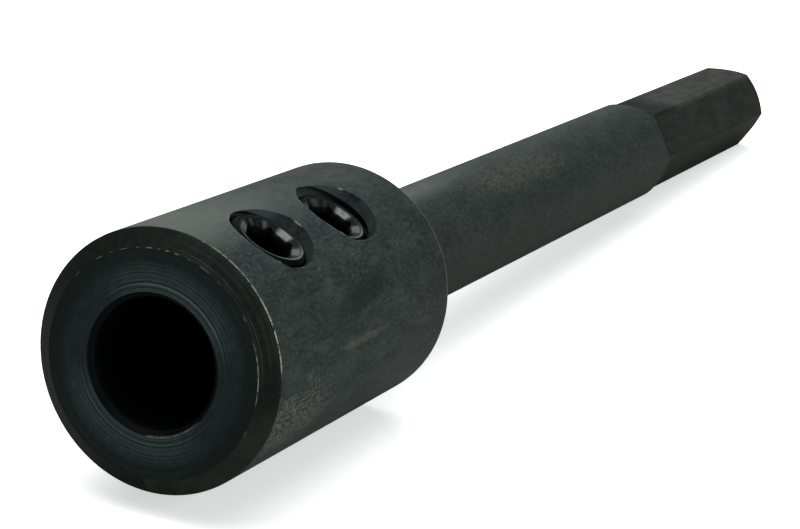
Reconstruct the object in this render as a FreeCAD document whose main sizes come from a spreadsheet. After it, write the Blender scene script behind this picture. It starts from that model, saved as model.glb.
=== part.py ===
import FreeCAD, Part
import Sketcher
import math
import os

# Drill bit extension, millimetres.
#
# A turned bar: a thick collar with a blind bore for a round shank, a plain
# shaft, and a hexagonal drive shank milled from the end of the shaft. Two
# socket set screws sit in radial holes of the collar, in one line, and grip
# the shank that goes into the bore.
#
# Local frame of the bar: X is its axis, from the bore mouth (x = 0) to the
# hexagonal end, and Z is square to the flat of the hexagon opposite the one
# that the bar lies on. The model frame has +Z up: the bar lies on the rear
# rim of its collar and on the end of one flat, with the origin at the middle
# of the bottom of its box.

doc = FreeCAD.newDocument("DrillBitExtension")

sheet = doc.addObject("Spreadsheet::Sheet", "Sizes")
sizes = (
    ("collar_radius", 12.7, "collar, outside radius"),
    ("collar_length", 39.7, "bore mouth to rear face of the collar"),
    ("front_chamfer_length", 1.3, "front chamfer, along the axis"),
    ("front_chamfer_depth", 1.74, "front chamfer, across the face"),
    ("rear_edge_break", 0.2, "rear rim of the collar"),
    ("root_fillet", 0.5, "fillet between collar and shaft"),
    ("bore_radius", 6.375, "bore for a 12.7 mm shank"),
    ("bore_depth", 33.5, "full diameter depth of the bore"),
    ("bore_mouth_break", 0.45, "edge break of the bore mouth"),
    ("bore_tip_length", 3.83, "cone left by the drill at the bottom"),
    ("shaft_radius", 6.69, "plain shaft"),
    ("overall_length", 180.5, "bore mouth to hexagonal end"),
    ("across_flats", 11.11, "hexagonal shank"),
    ("hex_start", 134.7, "where the flats reach their full depth"),
    ("cutter_radius", 9.525, "arc in which each flat runs out"),
    ("end_face_radius", 5.2, "flat end face inside the end chamfer"),
    ("end_chamfer_length", 2.58, "end chamfer, along the axis"),
    ("section_turn", 12.2, "half sections of the turning, from the local Z, degrees"),
    ("screw_lean", 25.5, "screw holes from the local Z, degrees"),
    ("screw_front_station", 11.85, "front screw from the bore mouth"),
    ("screw_rear_station", 25.95, "rear screw from the bore mouth"),
    ("hole_radius", 4.725, "radial holes, at the thread's crests"),
    ("hole_mouth_break", 0.275, "edge break of the radial holes"),
    ("screw_radius", 4.675, "set screw, over the thread"),
    ("screw_length", 4.76, "set screw, tip to face"),
    ("screw_head_chamfer", 1.1, "chamfer round the socket face"),
    ("screw_tip_chamfer", 0.9, "chamfer round the cup point"),
    ("cup_radius", 2.4, "cup point, at its rim"),
    ("cup_rim_radius", 2.75, "outside of the cup point's rim"),
    ("cup_depth", 0.7, "cup point, depth"),
    ("socket_across_flats", 4.76, "hexagonal socket"),
    ("socket_depth", 3.2, "hexagonal socket, from the face"),
    ("socket_dish_radius", 3.36, "conical mouth of the socket"),
    ("socket_dish_depth", 1.94, "cone of the mouth, to its point"),
    ("screw_front_face", 12.1, "front screw's face from the bar's axis"),
    ("screw_rear_face", 11.45, "rear screw's face from the bar's axis"),
    ("screw_front_turn", 28.5, "front socket about its own axis, degrees"),
    ("screw_rear_turn", 34.5, "rear socket about its own axis, degrees"),
)
sheet.set("A1", "Name")
sheet.set("B1", "Value")
sheet.set("C1", "What it is")
for row, (alias, value, note) in enumerate(sizes, start=2):
    sheet.set("A%d" % row, alias)
    sheet.set("B%d" % row, str(value))
    sheet.setAlias("B%d" % row, alias)
    sheet.set("C%d" % row, note)
doc.recompute()


class Size:
    """A number from the sheet together with the expression that gives it."""

    def __init__(self, value, text):
        self.value = float(value)
        self.text = text

    def __add__(self, other):
        other = as_size(other)
        return Size(self.value + other.value, "(%s + %s)" % (self.text, other.text))

    def __sub__(self, other):
        other = as_size(other)
        return Size(self.value - other.value, "(%s - %s)" % (self.text, other.text))

    def __mul__(self, other):
        other = as_size(other)
        return Size(self.value * other.value, "(%s * %s)" % (self.text, other.text))


def as_size(number):
    return number if isinstance(number, Size) else Size(number, repr(float(number)))


def cell(alias):
    return Size(sheet.get(alias), "Sizes.%s" % alias)


def new_body(name, label):
    body = doc.addObject("PartDesign::Body", name)
    body.Label = label
    return body


def origin_item(body, role):
    for item in body.Origin.OriginFeatures:
        if item.Role == role:
            return item
    raise RuntimeError("no %s in %s" % (role, body.Name))


def new_sketch(body, name, plane):
    sketch = body.newObject("Sketcher::SketchObject", name)
    sketch.AttachmentSupport = [(origin_item(body, plane), "")]
    sketch.MapMode = "FlatFace"
    return sketch


def turn_about_axis(sketch, angle):
    sketch.AttachmentOffset = FreeCAD.Placement(
        FreeCAD.Vector(0, 0, 0), FreeCAD.Rotation(FreeCAD.Vector(1, 0, 0), angle.value))
    sketch.setExpression("AttachmentOffset.Rotation.Angle", angle.text)


def bind(sketch, constraint, size):
    """Adds a dimension and ties it to the sheet."""
    index = sketch.addConstraint(constraint)
    sketch.setExpression("Constraints[%d]" % index, size.text)
    return index


def pin(sketch, line, point, x, y):
    """Places one point of the sketch from its origin."""
    for kind, size, axis in (("DistanceX", x, -2), ("DistanceY", y, -1)):
        if size is None:
            continue
        size = as_size(size)
        if size.value == 0.0:
            sketch.addConstraint(Sketcher.Constraint("PointOnObject", line, point, axis))
        else:
            bind(sketch, Sketcher.Constraint(kind, -1, 1, line, point, size.value), size)


def outline(sketch, points):
    """Closed outline of straight lines through the points."""
    corners = [(as_size(x), as_size(y)) for x, y in points]
    vectors = [FreeCAD.Vector(x.value, y.value, 0) for x, y in corners]
    count = len(corners)
    for i in range(count):
        sketch.addGeometry(Part.LineSegment(vectors[i], vectors[(i + 1) % count]), False)
    for i in range(count):
        sketch.addConstraint(Sketcher.Constraint("Coincident", i, 2, (i + 1) % count, 1))
    for i, (x, y) in enumerate(corners):
        pin(sketch, i, 1, x, y)


def volume_after(body):
    doc.recompute()
    return body.Shape.Volume


# ---------------------------------------------------------------- the bar
bar = new_body("ExtensionBody", "extension_body")

collar_r = cell("collar_radius")
collar_l = cell("collar_length")
shaft_r = cell("shaft_radius")
total = cell("overall_length")
edge = cell("rear_edge_break")
root = cell("root_fillet")
end_r = cell("end_face_radius")

# Half section of the turned blank. The corner between collar and shaft is
# left sharp here and is filleted after the blank is revolved. Both half
# sections are turned a little about the axis, which keeps the seams of the
# round faces clear of the flats.
blank = new_sketch(bar, "BlankProfile", "XZ_Plane")
turn_about_axis(blank, cell("section_turn"))
outline(blank, (
    (0, 0),
    (0, collar_r - cell("front_chamfer_depth")),
    (cell("front_chamfer_length"), collar_r),
    (collar_l - edge, collar_r),
    (collar_l, collar_r - edge),
    (collar_l, shaft_r),
    (total - cell("end_chamfer_length"), shaft_r),
    (total, end_r),
    (total, 0),
))
turned = bar.newObject("PartDesign::Revolution", "TurnedBlank")
turned.Profile = blank
turned.ReferenceAxis = (blank, ["H_Axis"])
turned.Angle = 360.0
blank_volume = volume_after(bar)

# Blind bore with a broken edge and the drill's conical bottom.
bore_r = cell("bore_radius")
bore_d = cell("bore_depth")
mouth = cell("bore_mouth_break")
bore_sketch = new_sketch(bar, "BoreProfile", "XZ_Plane")
turn_about_axis(bore_sketch, cell("section_turn"))
outline(bore_sketch, (
    (0, 0),
    (0, bore_r + mouth),
    (mouth, bore_r),
    (bore_d, bore_r),
    (bore_d + cell("bore_tip_length"), 0),
))
bore = bar.newObject("PartDesign::Groove", "Bore")
bore.Profile = bore_sketch
bore.ReferenceAxis = (bore_sketch, ["H_Axis"])
bore.Angle = 360.0
bored_volume = volume_after(bar)
if bored_volume > blank_volume - 3500.0:
    raise RuntimeError("the bore cut too little")

# Radial hole for the front set screw, with a 45 degree mouth. The sketch's
# own vertical axis is the hole's axis.
hole_r = cell("hole_radius")
hole_mouth = cell("hole_mouth_break")
hole_sketch = new_sketch(bar, "ScrewHoleProfile", "XZ_Plane")
hole_sketch.AttachmentOffset = FreeCAD.Placement(
    FreeCAD.Vector(cell("screw_front_station").value, 0, 0),
    FreeCAD.Rotation(FreeCAD.Vector(1, 0, 0), cell("screw_lean").value))
hole_sketch.setExpression("AttachmentOffset.Base.x", cell("screw_front_station").text)
hole_sketch.setExpression("AttachmentOffset.Rotation.Angle", cell("screw_lean").text)
outline(hole_sketch, (
    (0, 0),
    (hole_r, 0),
    (hole_r, collar_r - hole_mouth),
    (hole_r + hole_mouth * 2, collar_r + hole_mouth),
    (0, collar_r + hole_mouth),
))
hole = bar.newObject("PartDesign::Groove", "ScrewHole")
hole.Profile = hole_sketch
hole.ReferenceAxis = (hole_sketch, ["V_Axis"])
hole.Angle = 360.0
holed_volume = volume_after(bar)
if holed_volume > bored_volume - 300.0:
    raise RuntimeError("the screw hole cut too little")

# The same hole again for the rear set screw.
hole_row = bar.newObject("PartDesign::LinearPattern", "ScrewHoleRow")
hole_row.Originals = [hole]
hole_row.Direction = (origin_item(bar, "X_Axis"), [""])
hole_row.Occurrences = 2
hole_row.Length = cell("screw_rear_station").value - cell("screw_front_station").value
hole_row.setExpression(
    "Length", (cell("screw_rear_station") - cell("screw_front_station")).text)
bar.Tip = hole_row
rowed_volume = volume_after(bar)
if rowed_volume > holed_volume - 300.0:
    raise RuntimeError("the second screw hole cut too little")

# One flat of the hexagon: straight along the shank, and an arc where the
# cutter runs out into the round shaft.
flat_z = cell("across_flats") * 0.5
hex_x = cell("hex_start")
cutter = cell("cutter_radius")
top_z = shaft_r + 1.5
end_x = total + 1.0
drop = flat_z.value + cutter.value - top_z.value
back = math.sqrt(cutter.value ** 2 - drop ** 2)
arc_x = hex_x.value - back
flat_sketch = new_sketch(bar, "FlatProfile", "XZ_Plane")
corner_a = FreeCAD.Vector(end_x.value, flat_z.value, 0)
corner_b = FreeCAD.Vector(hex_x.value, flat_z.value, 0)
corner_c = FreeCAD.Vector(arc_x, top_z.value, 0)
corner_d = FreeCAD.Vector(end_x.value, top_z.value, 0)
centre = FreeCAD.Vector(hex_x.value, flat_z.value + cutter.value, 0)
floor_line = flat_sketch.addGeometry(Part.LineSegment(corner_a, corner_b), False)
runout = flat_sketch.addGeometry(
    Part.ArcOfCircle(
        Part.Circle(centre, FreeCAD.Vector(0, 0, 1), cutter.value),
        math.atan2(corner_c.y - centre.y, corner_c.x - centre.x),
        -0.5 * math.pi), False)
top_line = flat_sketch.addGeometry(Part.LineSegment(corner_c, corner_d), False)
end_line = flat_sketch.addGeometry(Part.LineSegment(corner_d, corner_a), False)
flat_sketch.addConstraint(Sketcher.Constraint("Tangent", floor_line, 2, runout, 2))
flat_sketch.addConstraint(Sketcher.Constraint("Coincident", runout, 1, top_line, 1))
flat_sketch.addConstraint(Sketcher.Constraint("Coincident", top_line, 2, end_line, 1))
flat_sketch.addConstraint(Sketcher.Constraint("Coincident", end_line, 2, floor_line, 1))
flat_sketch.addConstraint(Sketcher.Constraint("Horizontal", floor_line))
flat_sketch.addConstraint(Sketcher.Constraint("Horizontal", top_line))
flat_sketch.addConstraint(Sketcher.Constraint("Vertical", end_line))
pin(flat_sketch, floor_line, 2, hex_x, flat_z)
pin(flat_sketch, top_line, 2, end_x, top_z)
bind(flat_sketch, Sketcher.Constraint("Radius", runout, cutter.value), cutter)
flat = bar.newObject("PartDesign::Pocket", "Flat")
flat.Profile = flat_sketch
flat.Type = 0
flat.Midplane = True
flat.Length = 2.0 * (shaft_r.value + 1.0)
flat.setExpression("Length", ((shaft_r + 1.0) * 2).text)
flat_volume = volume_after(bar)
if flat_volume > rowed_volume - 100.0:
    raise RuntimeError("the flat cut too little")

hexagon = bar.newObject("PartDesign::PolarPattern", "Hexagon")
hexagon.Originals = [flat]
hexagon.Axis = (origin_item(bar, "X_Axis"), [""])
hexagon.Angle = 360.0
hexagon.Occurrences = 6
bar.Tip = hexagon
hex_volume = volume_after(bar)
if hex_volume > flat_volume - 500.0:
    raise RuntimeError("the hexagon is not complete")

# Fillet in the corner between the collar's rear face and the shaft.
corner_edges = []
for number, piece in enumerate(hexagon.Shape.Edges, start=1):
    curve = piece.Curve
    if isinstance(curve, Part.Circle) and abs(curve.Radius - shaft_r.value) < 1e-4 \
            and abs(curve.Center.x - collar_l.value) < 1e-4:
        corner_edges.append("Edge%d" % number)
if not corner_edges:
    raise RuntimeError("no corner between collar and shaft")
fillet = bar.newObject("PartDesign::Fillet", "RootFillet")
fillet.Base = (hexagon, corner_edges)
fillet.Radius = root.value
fillet.setExpression("Radius", root.text)
bar.Tip = fillet
filleted_volume = volume_after(bar)
if filleted_volume < hex_volume + 1.0:
    raise RuntimeError("the root fillet added nothing")


# ---------------------------------------------------------- the set screws
def set_screw(name, label):
    """Socket set screw with a cup point: its axis is Z, its tip at z = 0."""
    body = new_body(name, label)
    screw_r = cell("screw_radius")
    length = cell("screw_length")
    head = cell("screw_head_chamfer")
    tip = cell("screw_tip_chamfer")
    section = new_sketch(body, name + "Profile", "XZ_Plane")
    outline(section, (
        (0, cell("cup_depth")),
        (cell("cup_radius"), 0),
        (cell("cup_rim_radius"), 0),
        (screw_r, tip),
        (screw_r, length - head),
        (screw_r - head, length),
        (cell("socket_dish_radius"), length),
        (0, length - cell("socket_dish_depth")),
    ))
    shank = body.newObject("PartDesign::Revolution", name + "Shank")
    shank.Profile = section
    shank.ReferenceAxis = (section, ["V_Axis"])
    shank.Angle = 360.0
    before = volume_after(body)

    socket_sketch = new_sketch(body, name + "SocketProfile", "XY_Plane")
    socket_sketch.AttachmentOffset = FreeCAD.Placement(
        FreeCAD.Vector(0, 0, length.value), FreeCAD.Rotation())
    socket_sketch.setExpression("AttachmentOffset.Base.z", length.text)
    corner_r = cell("socket_across_flats") * (1.0 / math.sqrt(3.0))
    points = [FreeCAD.Vector(corner_r.value * math.cos(math.radians(60 * k)),
                             corner_r.value * math.sin(math.radians(60 * k)), 0)
              for k in range(6)]
    for k in range(6):
        socket_sketch.addGeometry(Part.LineSegment(points[k], points[(k + 1) % 6]), False)
    ring = socket_sketch.addGeometry(
        Part.Circle(FreeCAD.Vector(0, 0, 0), FreeCAD.Vector(0, 0, 1), corner_r.value), True)
    for k in range(6):
        socket_sketch.addConstraint(Sketcher.Constraint("Coincident", k, 2, (k + 1) % 6, 1))
        socket_sketch.addConstraint(Sketcher.Constraint("PointOnObject", k, 1, ring))
    for k in range(5):
        socket_sketch.addConstraint(Sketcher.Constraint("Equal", k, k + 1))
    socket_sketch.addConstraint(Sketcher.Constraint("Coincident", ring, 3, -1, 1))
    socket_sketch.addConstraint(Sketcher.Constraint("PointOnObject", 0, 1, -1))
    bind(socket_sketch, Sketcher.Constraint("Radius", ring, corner_r.value), corner_r)
    socket = body.newObject("PartDesign::Pocket", name + "Socket")
    socket.Profile = socket_sketch
    socket.Type = 0
    socket.Length = cell("socket_depth").value
    socket.setExpression("Length", cell("socket_depth").text)
    after = volume_after(body)
    if after > before - 25.0:
        raise RuntimeError("the socket of %s cut too little" % label)
    return body


front_screw = set_screw("SetScrewFront", "set_screw_front")
rear_screw = set_screw("SetScrewRear", "set_screw_rear")

# ------------------------------------------------------- lying as at rest
# Resting points in the local frame: the rear rim of the collar, and the end
# of the lower flat where it meets the end chamfer.
rim_x = collar_l.value - edge.value
rim_z = collar_r.value
toe_slope = (shaft_r.value - end_r.value) / cell("end_chamfer_length").value
toe_x = total.value - (flat_z.value - end_r.value) / toe_slope
toe_z = flat_z.value
tilt = math.atan2(rim_z - toe_z, toe_x - rim_x)
lie = FreeCAD.Rotation(FreeCAD.Vector(0, 1, 0), math.degrees(tilt))
lift = rim_x * math.sin(tilt) + rim_z * math.cos(tilt)
x_low = -(collar_r.value - cell("front_chamfer_depth").value) * math.sin(tilt)
x_high = total.value * math.cos(tilt) + end_r.value * math.sin(tilt)
shift = FreeCAD.Vector(-0.5 * (x_low + x_high), 0, lift)
bar.Placement = FreeCAD.Placement(shift, lie)

lean = FreeCAD.Rotation(FreeCAD.Vector(1, 0, 0), cell("screw_lean").value)
for screw, station, face, turn in (
        (front_screw, "screw_front_station", "screw_front_face", "screw_front_turn"),
        (rear_screw, "screw_rear_station", "screw_rear_face", "screw_rear_turn")):
    radial = lean.multVec(FreeCAD.Vector(0, 0, 1))
    tip_height = cell(face).value - cell("screw_length").value
    local = FreeCAD.Vector(cell(station).value, 0, 0) + radial * tip_height
    spin = FreeCAD.Rotation(FreeCAD.Vector(0, 0, 1), cell(turn).value)
    screw.Placement = FreeCAD.Placement(
        shift + lie.multVec(local), lie.multiply(lean).multiply(spin))

doc.recompute()

# ------------------------------------------------------------ check, write
for item in doc.Objects:
    for bad in ("Invalid", "Error"):
        if bad in item.State:
            raise RuntimeError("%s is %s" % (item.Name, bad))

nodes = (bar, front_screw, rear_screw)
os.makedirs("parts", exist_ok=True)
for body in nodes:
    shape = body.Shape
    if shape.isNull() or not shape.isValid() or len(shape.Solids) != 1:
        raise RuntimeError("%s has no valid single solid" % body.Label)
for body in nodes:
    body.Shape.exportStep(os.path.join("parts", body.Label + ".step"))
    box = body.Shape.BoundBox
    print("%-18s %9.1f mm3  x %8.3f %8.3f  y %8.3f %8.3f  z %8.3f %8.3f" % (
        body.Label, body.Shape.Volume, box.XMin, box.XMax, box.YMin, box.YMax,
        box.ZMin, box.ZMax))

radial = lie.multVec(lean.multVec(FreeCAD.Vector(0, 0, 1)))
along = lie.multVec(FreeCAD.Vector(1, 0, 0))
print("tilt %.4f degrees" % math.degrees(tilt))
print("axis of the bar  %.6f %.6f %.6f" % tuple(along))
print("screw direction  %.6f %.6f %.6f" % tuple(radial))
for name, point in (
        ("bore mouth", FreeCAD.Vector(0, 0, 0)),
        ("bore wall start", FreeCAD.Vector(mouth.value, 0, 0)),
        ("hexagonal end", FreeCAD.Vector(total.value, 0, 0)),
        ("front screw on axis", FreeCAD.Vector(cell("screw_front_station").value, 0, 0)),
        ("rear screw on axis", FreeCAD.Vector(cell("screw_rear_station").value, 0, 0))):
    place = shift + lie.multVec(point)
    print("%-20s %.4f %.4f %.4f" % (name, place.x, place.y, place.z))
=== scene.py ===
"""Looks for the drill bit extension: one turned and milled bar and two socket
set screws. Lengths below are in millimetres in the bar's own frame (X along
its axis from the bore mouth, Z square to the upper flat of the hexagon) and
become metres in the model frame where the vertices are made."""
import math

import bmesh
import bpy
import numpy as np
from mathutils import Matrix, Vector


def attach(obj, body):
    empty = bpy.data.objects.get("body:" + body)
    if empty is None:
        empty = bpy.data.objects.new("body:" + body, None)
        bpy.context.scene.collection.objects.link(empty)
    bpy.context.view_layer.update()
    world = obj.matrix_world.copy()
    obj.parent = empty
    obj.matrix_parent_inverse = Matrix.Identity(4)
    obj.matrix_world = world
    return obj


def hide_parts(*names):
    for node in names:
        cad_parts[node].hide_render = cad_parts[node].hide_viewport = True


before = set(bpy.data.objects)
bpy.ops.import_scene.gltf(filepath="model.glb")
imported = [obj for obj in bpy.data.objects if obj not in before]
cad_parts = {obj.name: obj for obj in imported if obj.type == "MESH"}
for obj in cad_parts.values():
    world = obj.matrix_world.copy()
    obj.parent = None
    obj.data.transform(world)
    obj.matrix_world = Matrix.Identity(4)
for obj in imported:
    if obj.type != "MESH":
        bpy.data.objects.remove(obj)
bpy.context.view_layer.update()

# ------------------------------------------------------------------- sizes
TILT = math.radians(2.91359)
MOUTH = np.array([-89.9869, 0.0, 14.6914])
COLLAR_R, COLLAR_L = 12.7, 39.7
CHAMFER_L, CHAMFER_D = 1.3, 1.74
REAR_BREAK, ROOT = 0.2, 0.5
BORE_R, BORE_D, BORE_BREAK, BORE_TIP = 6.375, 33.5, 0.45, 3.83
SHAFT_R, TOTAL = 6.69, 180.5
FLAT, HEX_START, CUTTER = 11.11 / 2, 134.7, 9.525
END_R, END_L = 5.2, 2.58
LEAN = math.radians(25.5)
STATIONS = (11.85, 25.95)
FACES = (12.1, 11.45)
TURNS = (math.radians(28.5), math.radians(34.5))
PITCH = 1.5875
SCREW_L = 4.76
PHASES = (0.013, 0.06)
# countersinks of the screw holes: radius at the collar's crest, and how fast they narrow
SINK_R, SINK_SLOPE = 5.0, 0.87
# bright flecks on their edges: bearing and half width in degrees, and strength
FLECKS = {STATIONS[0]: ((118.0, 12.0, 0.16), (0.0, 7.0, 0.30), (-137.0, 6.0, 0.40),
                        (-100.0, 9.0, 0.12), (158.0, 6.0, 0.10)),
          STATIONS[1]: ((26.0, 4.0, 0.34), (-141.0, 9.0, 0.42), (-160.0, 10.0, 0.16),
                        (150.0, 7.0, 0.18), (172.0, 6.0, 0.14))}

RY = np.array([[math.cos(TILT), 0, math.sin(TILT)],
               [0, 1, 0],
               [-math.sin(TILT), 0, math.cos(TILT)]])


def to_model(points):
    """Points of the bar's frame in millimetres, as metres in the model frame."""
    return (MOUTH + np.asarray(points, float) @ RY.T) * 0.001


def to_local(points):
    return (np.asarray(points, float) * 1000.0 - MOUTH) @ RY


HOLE_X = np.array([1.0, 0.0, 0.0])
HOLE_Y = np.array([0.0, math.cos(LEAN), math.sin(LEAN)])
HOLE_Z = np.array([0.0, -math.sin(LEAN), math.cos(LEAN)])


def hole_to_local(points, station):
    """Points about a screw hole's axis (height from the bar's axis) in the bar's frame."""
    p = np.asarray(points, float)
    return (np.array([station, 0, 0]) + p[:, :1] * HOLE_X + p[:, 1:2] * HOLE_Y
            + p[:, 2:] * HOLE_Z)


def new_object(name, verts, faces):
    mesh = bpy.data.meshes.new(name)
    mesh.from_pydata([tuple(v) for v in verts], [], faces)
    mesh.validate()
    mesh.update()
    obj = bpy.data.objects.new(name, mesh)
    bpy.context.scene.collection.objects.link(obj)
    return obj


def weld(obj, distance):
    work = bmesh.new()
    work.from_mesh(obj.data)
    bmesh.ops.remove_doubles(work, verts=work.verts, dist=distance)
    bmesh.ops.dissolve_degenerate(work, edges=work.edges, dist=distance * 0.5)
    bmesh.ops.recalc_face_normals(work, faces=work.faces)
    if work.calc_volume(signed=True) < 0:
        bmesh.ops.reverse_faces(work, faces=work.faces)
    work.to_mesh(obj.data)
    work.free()


def ripple(t, *waves):
    """A fixed sum of sines: the uneven feed of a turning tool."""
    return sum(a * np.sin(t * k + p) for a, k, p in waves)


# --------------------------------------------------------------------- bar
def bar_columns():
    """Angles round the bar, close together at the corners of the hexagon."""
    angles = list(np.radians(np.arange(0.0, 360.0, 1.5)))
    for corner in range(6):
        middle = math.radians(30.0 + 60.0 * corner)
        for extra in (0.18, 0.45, 0.85):
            angles += [middle - math.radians(extra), middle + math.radians(extra)]
    return np.array(sorted(angles))


ANGLES = bar_columns()
# angle from the middle of the nearest flat; flats look along 0, 60, 120... degrees
OFF_FLAT = (ANGLES + math.pi / 6) % (math.pi / 3) - math.pi / 6


def hex_radius(height):
    """Distance from the axis to a hexagon of that half width, its corners barely rounded."""
    other = math.pi / 3 - np.abs(OFF_FLAT)
    p = 110.0
    c1, c2 = np.cos(OFF_FLAT), np.cos(other)
    return height / (c1 ** p + c2 ** p) ** (1.0 / p)


def bar_rows():
    ones = np.ones(len(ANGLES))
    rows = []

    def ring(s, r):
        rows.append((s * ones, r * ones))

    # drilled bottom, bore wall and its mouth
    for share in (0.25, 0.5, 0.75):
        ring(BORE_D + BORE_TIP * (1 - share), BORE_R * share)
    ring(BORE_D + 0.03, BORE_R - 0.05)
    ring(BORE_D - 0.03, BORE_R)
    for s in (32, 30, 28, 26, 24, 22, 20, 18, 16, 14, 12, 10, 8, 6, 4, 2.5, 1.2, 0.6):
        ring(s, BORE_R)
    ring(BORE_BREAK + 0.02, BORE_R)
    ring(BORE_BREAK - 0.03, BORE_R + 0.035)
    ring(0.035, BORE_R + BORE_BREAK - 0.035)
    ring(0.004, BORE_R + BORE_BREAK + 0.03)
    # faced end, with the shallow rings that the tool left
    inner, outer = BORE_R + BORE_BREAK + 0.08, COLLAR_R - CHAMFER_D - 0.08
    for r in np.arange(inner, outer, 0.115):
        fade = 1.0 / (1.0 + math.exp((r - 9.3) * 2.2))
        deep = ripple(r, (1.0, 11.0, 0.4), (0.8, 17.3, 1.1), (0.6, 27.1, 2.0))
        ring(0.0035 + (0.0012 + 0.0022 * fade) * deep / 2.4, r)
    ring(0.002, COLLAR_R - CHAMFER_D - 0.035)
    ring(0.025, COLLAR_R - CHAMFER_D + 0.03)
    # front chamfer, ridged by the form tool
    across = np.array([CHAMFER_L, CHAMFER_D])
    length = float(np.hypot(*across))
    along = across / length
    normal = np.array([along[1], -along[0]])
    for d in np.arange(0.1, length - 0.08, 0.085):
        deep = ripple(d, (1.0, 15.0, 0.2), (0.9, 22.4, 1.7), (0.7, 35.0, 0.6))
        inward = 0.007 + 0.0050 * deep / 2.6
        s, r = along * d + normal * inward
        ring(s, COLLAR_R - CHAMFER_D + r)
    ring(CHAMFER_L - 0.03, COLLAR_R - 0.05)
    ring(CHAMFER_L + 0.02, COLLAR_R - 0.006)
    # collar
    ring(CHAMFER_L + 0.1, COLLAR_R)
    for s in np.arange(2.6, 39.0, 1.4):
        ring(s, COLLAR_R)
    ring(COLLAR_L - REAR_BREAK - 0.1, COLLAR_R)
    ring(COLLAR_L - REAR_BREAK - 0.02, COLLAR_R - 0.004)
    ring(COLLAR_L - REAR_BREAK + 0.03, COLLAR_R - 0.035)
    ring(COLLAR_L - 0.035, COLLAR_R - REAR_BREAK + 0.03)
    ring(COLLAR_L - 0.004, COLLAR_R - REAR_BREAK - 0.03)
    # rear face and the fillet into the shaft
    for r in np.arange(12.3, SHAFT_R + ROOT + 0.2, -0.45):
        ring(COLLAR_L - 0.003 - 0.002 * ripple(r, (0.5, 9.0, 0.0), (0.5, 14.0, 1.0)), r)
    for turn in np.radians(np.arange(0, 91, 15)):
        ring(COLLAR_L + ROOT * (1 - math.cos(turn)), SHAFT_R + ROOT * (1 - math.sin(turn)))
    # shaft
    for s in np.arange(41.5, 129.0, 3.5):
        ring(s, SHAFT_R)
    ring(129.6, SHAFT_R)
    # flats begin: the arc of the cutter
    depth = SHAFT_R * np.cos(OFF_FLAT) - FLAT
    start = HEX_START - np.sqrt(2 * CUTTER * depth - depth ** 2)
    for share in (0.5, 0.93):
        rows.append((129.6 + (start - 129.6) * share, SHAFT_R * ones))
    rows.append((start, SHAFT_R * ones))
    for share in (0.07, 0.2, 0.35, 0.5, 0.65, 0.8, 0.92, 1.0):
        s = start + (HEX_START - start) * share
        h = CUTTER - np.sqrt(CUTTER ** 2 - (HEX_START - s) ** 2)
        rows.append((s, np.minimum(SHAFT_R, hex_radius(FLAT + h))))
    for s in (136.0, 138.5, 142, 146, 150, 154, 158, 162, 166, 170, 174, 176.5):
        rows.append((s * ones, hex_radius(FLAT)))
    # end chamfer
    slope = (SHAFT_R - END_R) / END_L
    end_s = TOTAL - END_L + (SHAFT_R - hex_radius(FLAT)) / slope
    rows.append((end_s - 0.06, hex_radius(FLAT)))
    rows.append((end_s + 0.04, hex_radius(FLAT) - 0.04 * slope))
    for share in (0.35, 0.7):
        s = end_s + 0.04 + (TOTAL - 0.09 - end_s) * share
        rows.append((s, SHAFT_R - (s - TOTAL + END_L) * slope))
    ring(TOTAL - 0.05, END_R + 0.05 * slope)
    ring(TOTAL - 0.004, END_R - 0.03)
    for r in np.arange(END_R - 0.12, 0.25, -0.3):
        ring(TOTAL - 0.005 - 0.003 * ripple(r, (0.5, 8.0, 0.3), (0.5, 13.0, 1.0)), r)
    return rows


def build_bar():
    rows = bar_rows()
    n = len(ANGLES)
    verts = [(BORE_D + BORE_TIP, 0.0, 0.0)]
    for s, r in rows:
        verts += list(zip(s, r * np.sin(ANGLES), r * np.cos(ANGLES)))
    verts.append((TOTAL - 0.006, 0.0, 0.0))
    last = len(verts) - 1
    faces = [(0, 1 + (i + 1) % n, 1 + i) for i in range(n)]
    for k in range(len(rows) - 1):
        a, b = 1 + k * n, 1 + (k + 1) * n
        for i in range(n):
            j = (i + 1) % n
            faces.append((a + i, a + j, b + j, b + i))
    a = 1 + (len(rows) - 1) * n
    faces += [(a + i, a + (i + 1) % n, last) for i in range(n)]
    obj = new_object("extension_bar", to_model(verts), faces)
    weld(obj, 1e-8)
    return obj


# ----------------------------------------------------------------- threads
def thread_height(phase_z, inside):
    """Radius of the 60 degree thread at a distance along the axis from a crest."""
    u = np.abs((phase_z / PITCH + 0.5) % 1.0 - 0.5) * PITCH
    pitch_r = 9.525 / 2 - 0.32475 * PITCH
    flank = pitch_r + (PITCH / 4 - u) * math.sqrt(3.0)
    if inside:
        return np.clip(flank + 0.045, 3.97, 4.745)
    return np.clip(flank - 0.045, 3.80, 4.66)


def helix_surface(z0, z1, phase, radius_at, columns=72, per_pitch=14):
    """Closed-up rings of a threaded surface whose rows run along the helix.
    Returns the vertices and quads; both ends lie flat at z0 and z1."""
    turns = (z1 - z0) / PITCH
    count = int(math.ceil((turns + 2.2) * per_pitch))
    start = z0 - 1.1 * PITCH
    start = math.floor(start / PITCH) * PITCH + phase * PITCH
    verts = []
    for i in range(columns):
        angle = 2 * math.pi * i / columns
        raw = start + PITCH * (np.arange(count + per_pitch) / per_pitch + i / columns)
        z = np.clip(raw, z0, z1)
        crest = z - PITCH * (i / columns) - phase * PITCH
        r = radius_at(z, crest)
        verts += list(zip(r * math.cos(angle), r * math.sin(angle), z))
    height = count + per_pitch
    faces = []
    for i in range(columns):
        for j in range(count - 1):
            if i < columns - 1:
                faces.append((i * height + j, (i + 1) * height + j,
                              (i + 1) * height + j + 1, i * height + j + 1))
            else:
                faces.append((i * height + j, j + per_pitch,
                              j + per_pitch + 1, i * height + j + 1))
    return verts, faces


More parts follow.
